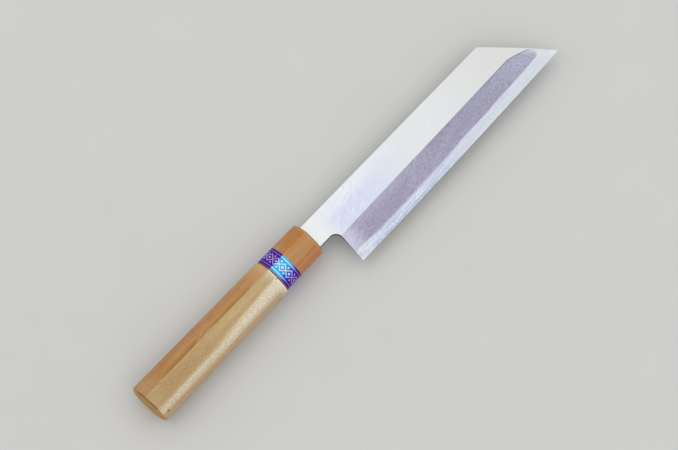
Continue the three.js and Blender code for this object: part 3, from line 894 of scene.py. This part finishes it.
def foil_finish(girth):
    """The print and a painted glint by place round the band and across it, both in millimetres."""
    foil = Finish("printed_foil")
    around = foil.measure("around")
    across = foil.measure("across")
    middle = BAND_WIDTH / 2
    turned = around / girth
    # Painted glint: 1 where the band turns to the light, falling to 0 a quarter turn away
    glint = abs(foil.math("COSINE", (turned - GLINT_TURN) * (2 * math.pi)))
    mottle = foil.noise(1.8, 1.8)
    patchy_glint = glint + (mottle - 0.5) * 0.12
    by_rim = foil.step(abs(across - middle), middle - 1.3, middle - 0.4)
    # Painted shade: the spine side of the band, turned from the light, stays violet
    unlit_side = foil.step(turned, CROWN_TURN, CROWN_TURN - 0.01) * foil.step(turned, 0.2, 0.26)
    violet = foil.mix(foil.step(mottle, 0.42, 0.6), (78, 6, 148), (38, 28, 172))
    # Painted glint on the ground: violet where turned away, blue to cyan where facing the light, brightest
    # by the rims
    ground = foil.coats(
        foil.mix(foil.step(glint, 0.45, 0.72), (78, 4, 156), (44, 24, 168)),
        (foil.step(patchy_glint, 0.66, 0.84), (14, 78, 186)),
        (foil.step(patchy_glint, 0.84, 0.97), (26, 150, 222)),
        (foil.step(patchy_glint, 0.95, 1.0) * 0.8, (40, 186, 236)),
        (by_rim * foil.step(glint, 0.78, 0.95) * 0.6, (50, 200, 242)),
        (unlit_side, violet),
    )

    # Chain of lozenges: two zigzags that cross, a stud in each lozenge, and a dot over each crossing
    cell = girth / LOZENGES
    from_centre = abs(around % cell - cell / 2)
    zigzag = from_centre * (2 * LOZENGE_REACH / cell)
    from_middle = abs(across - middle)
    stroke = foil.step(abs(from_middle - (LOZENGE_REACH - zigzag)), 0.46, 0.26)
    stud = foil.step(from_centre + from_middle, 1.1, 0.85)
    dot_run = cell / 2 - from_centre
    dot_rise = from_middle - DOT_RISE
    dot = foil.step(dot_run * dot_run + dot_rise * dot_rise, 0.42, 0.24)
    # Painted glint on the print: pale ink and full lines where lit, pinker ink and fainter lines elsewhere
    lit = foil.step(glint, 0.6, 0.92) * (1 - unlit_side)
    line = foil.hill(from_middle, middle - LINE_INSET, 0.5) * (0.5 + lit * 0.5)
    printed = foil.least(stroke + stud + dot + line, 1.0)
    ink = foil.mix(lit, (200, 164, 220), (228, 236, 246))
    colour = foil.mix(printed * 0.88, ground, ink)
    foil.dress(Base_Color=colour, Metallic=0.75 - printed * 0.4, Roughness=0.42 + (mottle - 0.5) * 0.12)
    foil.dress(bump=mottle * 0.01 + printed * 0.008)
    return foil


across_x = np.linspace(BAND_REAR_X, BAND_REAR_X + BAND_WIDTH, BAND_STATIONS)
snug = ferrule_rings(across_x)
grown_by_one = ferrule_rings(across_x, -1.0)
ring_points = snug.shape[1]
seam = ring_points - BACK_STEPS - FLAT_STEPS // 2
strip = np.arange(seam - LAP_POINTS, seam + ring_points + LAP_POINTS + 1)
lap_start = strip[-1] - 2 * LAP_POINTS
lift = FOIL_LIFT + (LAP_LIFT - FOIL_LIFT) * ramp(strip, lap_start - LAP_EASE, lap_start)
wound = snug.take(strip, 1, mode="wrap")
outward = (grown_by_one - snug).take(strip, 1, mode="wrap")
inner_skin = wound + outward * lift[:, None]
outer_skin = wound + outward * (lift[:, None] + FOIL_THICKNESS)
sleeve = np.concatenate([outer_skin, inner_skin[::-1]]).transpose(1, 0, 2)
steps_round = np.linalg.norm(np.diff(outer_skin[len(across_x) // 2], axis=0), axis=1)
around = np.concatenate([[0], np.cumsum(steps_round)])
girth = around[-1 - 2 * LAP_POINTS]
profile = np.concatenate([across_x, across_x[::-1]]) - BAND_REAR_X
index = np.arange(sleeve.shape[0] * sleeve.shape[1]).reshape(sleeve.shape[:2])
fold = len(across_x)
start_cap = quads_of(np.stack([index[0, :fold], index[0, fold:][::-1]]))
end_cap = quads_of(np.stack([index[-1, fold:][::-1], index[-1, :fold]]))
faces = np.concatenate([tube_faces(sleeve, closed=False), start_cap, end_cap])
band_measures = {
    "around": np.repeat(around - PRINT_SHIFT, sleeve.shape[1]),
    "across": np.tile(profile, sleeve.shape[0]),
}
piece("foil_band", sleeve, faces, foil_finish(girth), "label_band", band_measures)


# Handle body
# One length of pale wood, shaped to the chestnut section, sanded and lightly waxed.
# It is bored for the tang, rounded over at the butt, and shouldered down to a tenon for the ferrule.
BUTT_SECTION, SHOULDER_SECTION = (26.799, 0.0, 10.399, 11.2, 2.9), (24.7, -0.25, 9.8, 10.6, 2.65)
RIDGE_Y_AT_BUTT, RIDGE_Y_AT_SHOULDER = 2.9, 2.4
BUTT_ROUNDING, SHOULDER_ROUNDING = 1.6, 1.0
TENON_FRONT_X, BORE_END_X, BORE_MARGIN = 124.5, 32.0, 1.3
PITH_Y, PITH_Z, RING_WIDTH = -14.0, -70.0, 2.6
GRIP_STATIONS = 52


def wood_rings(x, inset=0.0):
    """The wood's outside at places along X."""
    return tapered(x, inset, BUTT_SECTION, SHOULDER_SECTION, 0.0, SHOULDER_X)


def bore_ring(ring, x):
    """The bore at one place: the tang's section with a margin all round."""
    share = (NECK_END_X - x) / (NECK_END_X - TANG_END_X)
    half = TANG_FRONT_HALF + share * (TANG_END_HALF - TANG_FRONT_HALF) + BORE_MARGIN
    return rectangle(ring, x, -half, half, BACK_Z - BORE_MARGIN, front_z(x) + BORE_MARGIN)


def wood_finish():
    """Growth rings round a pith below the handle, streaks and pores along it, a painted highlight on the
    long facet and painted shade towards the spine, and end grain at the butt.
    """
    wood = Finish("handle_wood")
    sway = wood.noise(90, 9)
    ring_y = wood.y - PITH_Y
    ring_z = wood.z - PITH_Z
    radius = (ring_y * ring_y + ring_z * ring_z) ** 0.5 + (sway - 0.5) * 7
    season = radius % RING_WIDTH / RING_WIDTH
    late = wood.step(season, 0.45, 0.92) * wood.step(season, 1.0, 0.94)
    streak = wood.noise(70, 1.5, detail=3, shift=3)
    broad = wood.noise(120, 4.5, shift=8)
    pores = wood.noise(4.5, 0.5, turn=2)
    rays = wood.noise(1.1, 0.55, turn=42, shift=6)
    fibres = wood.noise(30, 0.75, turn=1, shift=12)
    beside = wood.y - RIDGE_Y_AT_BUTT + wood.x * ((RIDGE_Y_AT_BUTT - RIDGE_Y_AT_SHOULDER) / SHOULDER_X)

    # Long facet: pale tan, with a painted highlight strip along its lower side, on the upper half only,
    # that widens towards the shoulder
    warmth = wood.step(wood.x + (broad - 0.5) * 50, 20, 84)
    widening = wood.x * 0.018 + wood.most(wood.x - 50, 0.0) * 0.035
    over_highlight = wood.y + 6.7 - widening + (streak - 0.5) * 1.2
    upper_side = wood.step(wood.z, -2, 3)
    # Painted highlight: the strip's share, on the upper side only
    strip = wood.step(over_highlight, 0.8, -3.2 + wood.along(45, 75) * 1.2) * upper_side
    # The painted highlight's colour: cream, with a brighter core and sparkling flecks
    pale = wood.coats(
        wood.mix(wood.along(40, 95), (209, 192, 160), (221, 209, 183)),
        (wood.hill(wood.y + (streak - 0.5) * 1.5, -8.2, 1.3) * 0.5, (229, 219, 198)),
        (wood.step(rays, 0.48, 0.68) * 0.65, (239, 231, 212)),
        (wood.step(rays, 0.5, 0.3) * 0.6, (182, 155, 115)),
    )
    contour = wood.step(wood.y, -9.8 + wood.along(55, 85) * 1.6, -12.0)
    lower_side = wood.coats(
        wood.mix(late * 0.45, (193, 163, 124), (164, 127, 80)),
        (wood.step(fibres, 0.5, 0.7) * 0.45, (168, 130, 84)),
        (wood.step(fibres, 0.48, 0.3) * 0.35, (211, 185, 147)),
        (wood.step(pores, 0.5, 0.72) * 0.4, (153, 117, 72)),
    )
    long_facet = wood.coats(
        wood.mix(warmth, (174, 142, 97), (192, 166, 119)),
        (wood.along(15, 3) * 0.7, (185, 155, 116)),
        (late * 0.3, (168, 133, 84)),
        (wood.step(streak, 0.52, 0.72) * 0.3, (202, 176, 133)),
        (wood.hill(beside, -0.7, 1.3) * 0.5, (188, 151, 98)),
        (wood.step(pores, 0.48, 0.72) * 0.4, (151, 117, 68)),
        (wood.step(rays, 0.44, 0.72) * 0.4, (211, 186, 141)),
        (wood.hill(over_highlight, 1.9, 1.6) * 0.25, (180, 145, 88)),
        # The painted highlight laid over the long facet
        (strip * 0.95, pale),
        (contour * 0.9, lower_side),
    )

    # Short facet towards the spine: orange brown heartwood, its darker tone partly painted shade, deeper
    # beside the ridge, with one pale flame, and painted shade along the spine's contour
    glow = wood.hill(wood.x + (broad - 0.5) * 20, 21, 11) * wood.hill(beside, 5.6, 4.0)
    rear_heart = wood.stretch(12, 24, 40, 50)
    front_heart = wood.stretch(54, 61, 84, 93) * 0.85
    heart = wood.hill(beside + (streak - 0.5) * 1.2, 0.7, 1.9) * (rear_heart + front_heart)
    across_grain = wood.hill(beside - (wood.x - 44) * 0.45 + (sway - 0.5) * 3, 0.0, 0.9)
    flame = across_grain * wood.stretch(42, 46, 52, 62)
    between_fibres = wood.step(fibres, 0.62, 0.38)
    # Painted shade: darker along the spine-side contour, broken by the fibres
    spine_contour_shade = wood.step(wood.y, 11.0, 12.8) * (0.3 + between_fibres * 0.5)
    by_shoulder = wood.step(wood.x + (fibres - 0.5) * 18, 87, 100) * (0.65 + between_fibres * 0.3)
    # The base tone is darker in part as painted shade on the facet turned from the light
    short_facet = wood.coats(
        wood.mix(wood.step(broad, 0.35, 0.65), (175, 126, 74), (182, 137, 89)),
        (wood.along(16, 5) * 0.7, (181, 143, 98)),
        (wood.along(46, 62) * 0.5, (192, 146, 97)),
        (late * 0.3, (159, 106, 55)),
        (wood.step(streak, 0.54, 0.74) * 0.35, (192, 149, 100)),
        (wood.step(fibres, 0.52, 0.7) * 0.45, (162, 104, 49)),
        (wood.step(fibres, 0.48, 0.3) * 0.3, (196, 153, 106)),
        (wood.step(pores, 0.5, 0.72) * 0.45, (151, 100, 53)),
        (wood.step(rays, 0.5, 0.72) * 0.36, (198, 155, 108)),
        (glow * 0.7, (176, 117, 53)),
        (heart * 0.9, (162, 108, 41)),
        (flame * 0.5, (200, 159, 111)),
        (spine_contour_shade, (159, 125, 80)),
        (by_shoulder, (194, 153, 104)),
    )
    on_short = wood.step(beside, -0.25, 0.15)

    # Paler wood at the shoulder, with painted highlight on its upper side and over the highlight strip, a
    # painted highlight on its rim and one pit in it, and a pin knot near the butt
    # The shoulder's colour: lighter where the painted highlight strip runs
    rim = wood.mix(strip, (211, 196, 168), (227, 219, 194))
    rim = wood.mix(on_short, rim, (198, 164, 125))
    # Paler wood and painted highlight: stronger on the upper side
    paler_and_highlight = wood.step(wood.x + (fibres - 0.5) * 9, 97, 103) * (0.25 + upper_side * 0.55)
    # Painted highlight: a bright line on the shoulder's rounded rim
    rim_highlight = wood.along(102.2, 103.2) * (1 - on_short) * upper_side

    def spot(x, y, half_x, half_y, core):
        """An ellipse on the front, full inside a core."""
        run = (wood.x - x) / half_x
        rise = (wood.y - y) / half_y
        return wood.step(run * run + rise * rise, 1.0, core) * wood.step(wood.z, 0, 2)

    side = wood.coats(
        wood.mix(on_short, long_facet, short_facet),
        (paler_and_highlight, rim),
        (rim_highlight, (243, 238, 227)),
        (spot(4.3, -11.2, 0.75, 0.55, 0.35) * 0.95, (131, 86, 27)),
        (spot(102.7, -4.4, 0.8, 0.32, 0.3) * 0.9, (106, 80, 55)),
    )

    # End grain: darker, with the rings end on, and one dark red line in a redder band below the rim under
    # the ridge
    pits = wood.noise(0.35, 0.35, shift=5)
    under_rim = wood.z - 8.8 + wood.most(beside * 0.4, beside * -0.14)
    off_red_line = abs(under_rim + (streak - 0.5) * 0.8 + (pits - 0.5) * 0.3)
    along_red_line = wood.step(wood.y, -8, -4) * wood.step(wood.y, 10.5, 6.5)
    # A dark red line following the upper rim, in a redder band, with a shallow groove bumped in
    red_band = wood.step(off_red_line, 1.7, 0.5) * along_red_line
    red_line = wood.step(off_red_line, 0.55, 0.32) * along_red_line
    end = wood.coats(
        wood.mix(late * 0.6, (194, 150, 82), (172, 119, 55)),
        (wood.step(pits, 0.5, 0.75) * 0.5, (159, 115, 64)),
        (red_band * 0.9, (142, 42, 28)),
        (red_line, (74, 12, 10)),
    )
    on_end = wood.along(0.6, 0.12)
    colour = wood.mix(on_end, side, end)
    roughness = 0.36 + (pores - 0.5) * 0.3 + on_end * 0.2
    relief = pores * -0.03 + streak * 0.02 - red_line * on_end * 0.05
    wood.dress(Base_Color=colour, Roughness=roughness, bump=relief, Specular_IOR_Level=0.3)
    return wood


butt_from_face, butt_inset = quarter_round(BUTT_ROUNDING)
neckline_from_face, neckline_inset = quarter_round(SHOULDER_ROUNDING, steps=6)
grip_rear = BUTT_ROUNDING + RIM_CLEARANCE
grip_front = SHOULDER_X - SHOULDER_ROUNDING - RIM_CLEARANCE
grip_x = np.linspace(grip_rear, grip_front, GRIP_STATIONS)
outside = np.concatenate([
    wood_rings(butt_from_face, butt_inset),
    wood_rings(grip_x),
    wood_rings(SHOULDER_X - neckline_from_face[::-1], neckline_inset[::-1]),
])
tenon_rear = oval(outside[-1], SHOULDER_X, TENON_HEIGHT, TENON_DEPTH)
tenon_front = oval(outside[-1], TENON_FRONT_X, TENON_HEIGHT, TENON_DEPTH)
bore_front = bore_ring(outside[-1], TENON_FRONT_X)
bore_end = bore_ring(outside[-1], BORE_END_X)
handle = np.concatenate([
    between(0 * outside[0], outside[0], 0.0, 0.2, 0.4, 0.6, 0.8, 0.97),
    outside,
    between(outside[-1], tenon_rear, 0.06, 0.5, 0.94, 1.0),
    between(tenon_rear, tenon_front, 0.03, 0.5, 0.97, 1.0),
    between(tenon_front, bore_front, 0.06, 0.94, 1.0),
    between(bore_front, bore_end, 0.03, 0.5, 0.97, 1.0),
    between(bore_end, 0 * bore_end + bore_end.mean(0), 0.1, 1.0),
])
faces = tube_faces(handle, closed=False)
piece("wooden_grip", handle, faces, wood_finish(), "handle_body")


# Bedding
# Dark filler that was poured round the hot tang, and fills the bore and the rear of the ferrule's slot.
# The frame's own solid is right for it, and only its finish is made here.
def bedding_finish():
    """Dark brown filler with soft lumps and pinholes."""
    filler = Finish("bedding")
    lumps = filler.noise(2.5, 2.5, detail=3)
    holes = filler.noise(0.6, 0.6, detail=1, shift=4)
    ground = filler.mix(filler.step(lumps, 0.35, 0.65), (58, 40, 27), (82, 60, 41))
    colour = filler.mix(filler.step(holes, 0.6, 0.75), ground, (36, 24, 16))
    filler.dress(Base_Color=colour, Roughness=0.75 + (lumps - 0.5) * 0.2, bump=lumps * 0.15 - holes * 0.05)
    return filler


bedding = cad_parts["tang_resin"]
filler = bedding_finish()
for material_slot in bedding.material_slots:
    material_slot.material = filler.material


# Table and light
# A plain pale table that the handle lies on, under a soft dome that is brightest overhead.
# Of two wide, dim lamps, one stands on the spine's side, and the other lights the long facet.
TABLE_Z, TABLE_RADIUS, TABLE_SIDES = -10.4, 6000.0, 96
DOME_LOW, DOME_HIGH = 0.35, 0.95


def aimed(place, target):
    """Place and turn of a lamp or camera that looks at a target, with its width level."""
    away = (place - target) / np.linalg.norm(place - target)
    wide = np.cross([0, 0, 1], away)
    wide = wide / np.linalg.norm(wide)
    turned = np.column_stack([wide, np.cross(away, wide), away, place * MM])
    return Matrix(np.vstack([turned, [0, 0, 0, 1]]).tolist())


def lamp(name, place, target, width, depth, watts):
    """A rectangular soft lamp."""
    light = bpy.data.lights.new(name, "AREA")
    light.shape = "RECTANGLE"
    light.size = width * MM
    light.size_y = depth * MM
    light.energy = watts
    stand = bpy.data.objects.new(name, light)
    stand.matrix_world = aimed(np.array(place, float), np.array(target, float))
    bpy.context.scene.collection.objects.link(stand)


table_finish = Finish("table")
grain = table_finish.noise(30, 30, detail=4)
pale = table_finish.mix(grain, (203, 203, 201), (207, 207, 205))
table_finish.dress(Base_Color=pale, Roughness=0.8)
turn_round = spaced(0, 2 * math.pi, TABLE_SIDES)
rim = np.column_stack([np.cos(turn_round), np.sin(turn_round)]) * TABLE_RADIUS
corners = np.column_stack([rim, np.full(len(rim), TABLE_Z)])
table_mesh = bpy.data.meshes.new("table")
table_mesh.from_pydata(corners * MM, [], [list(range(len(corners)))])
table_mesh.materials.append(table_finish.material)
table = bpy.data.objects.new("table", table_mesh)
bpy.context.scene.collection.objects.link(table)

dome = bpy.data.worlds.new("dome")
dome.use_nodes = True
bpy.context.scene.world = dome
sky = Nodes(dome.node_tree)
direction = sky.add("ShaderNodeTexCoord", output="Generated")
height = sky.add("ShaderNodeSeparateXYZ", inputs={0: direction}, output="Z")
levels = {"Value": height, "To Min": DOME_LOW, "To Max": DOME_HIGH}
brightness = sky.add("ShaderNodeMapRange", {"interpolation_type": "SMOOTHSTEP"}, levels)
background = sky.tree.nodes["Background"]
sky.feed(background.inputs["Strength"], brightness)
sky.feed(background.inputs["Color"], (1.0, 1.0, 1.0, 1.0))

lamp("spine_side_lamp", (110, 720, 760), (150, -10, 0), width=2800, depth=1200, watts=4.3)
lamp("long_facet_lamp", (240, -640, 560), (60, -8, 6), width=2800, depth=900, watts=2.7)


# Camera
# Far above the butt's end with a long lens, so that the knife lies corner to corner in the picture.
LENS, SENSOR = 368.6, 36.0
CAMERA_PLACE = np.array([-659.9, -753.69, 3847.14])
CAMERA_AZIMUTH, CAMERA_ELEVATION = math.radians(-47.43), math.radians(74)

lens = bpy.data.cameras.new("camera")
lens.lens = LENS
lens.sensor_width = SENSOR
lens.clip_start = 0.1
lens.clip_end = 100.0
camera = bpy.data.objects.new("camera", lens)
level = math.cos(CAMERA_ELEVATION)
backward = np.array([
    math.sin(CAMERA_AZIMUTH) * level, -math.cos(CAMERA_AZIMUTH) * level, math.sin(CAMERA_ELEVATION),
])
camera.matrix_world = aimed(CAMERA_PLACE, CAMERA_PLACE - backward)
bpy.context.scene.collection.objects.link(camera)
bpy.context.scene.camera = camera
bpy.context.scene.view_settings.view_transform = "Standard"
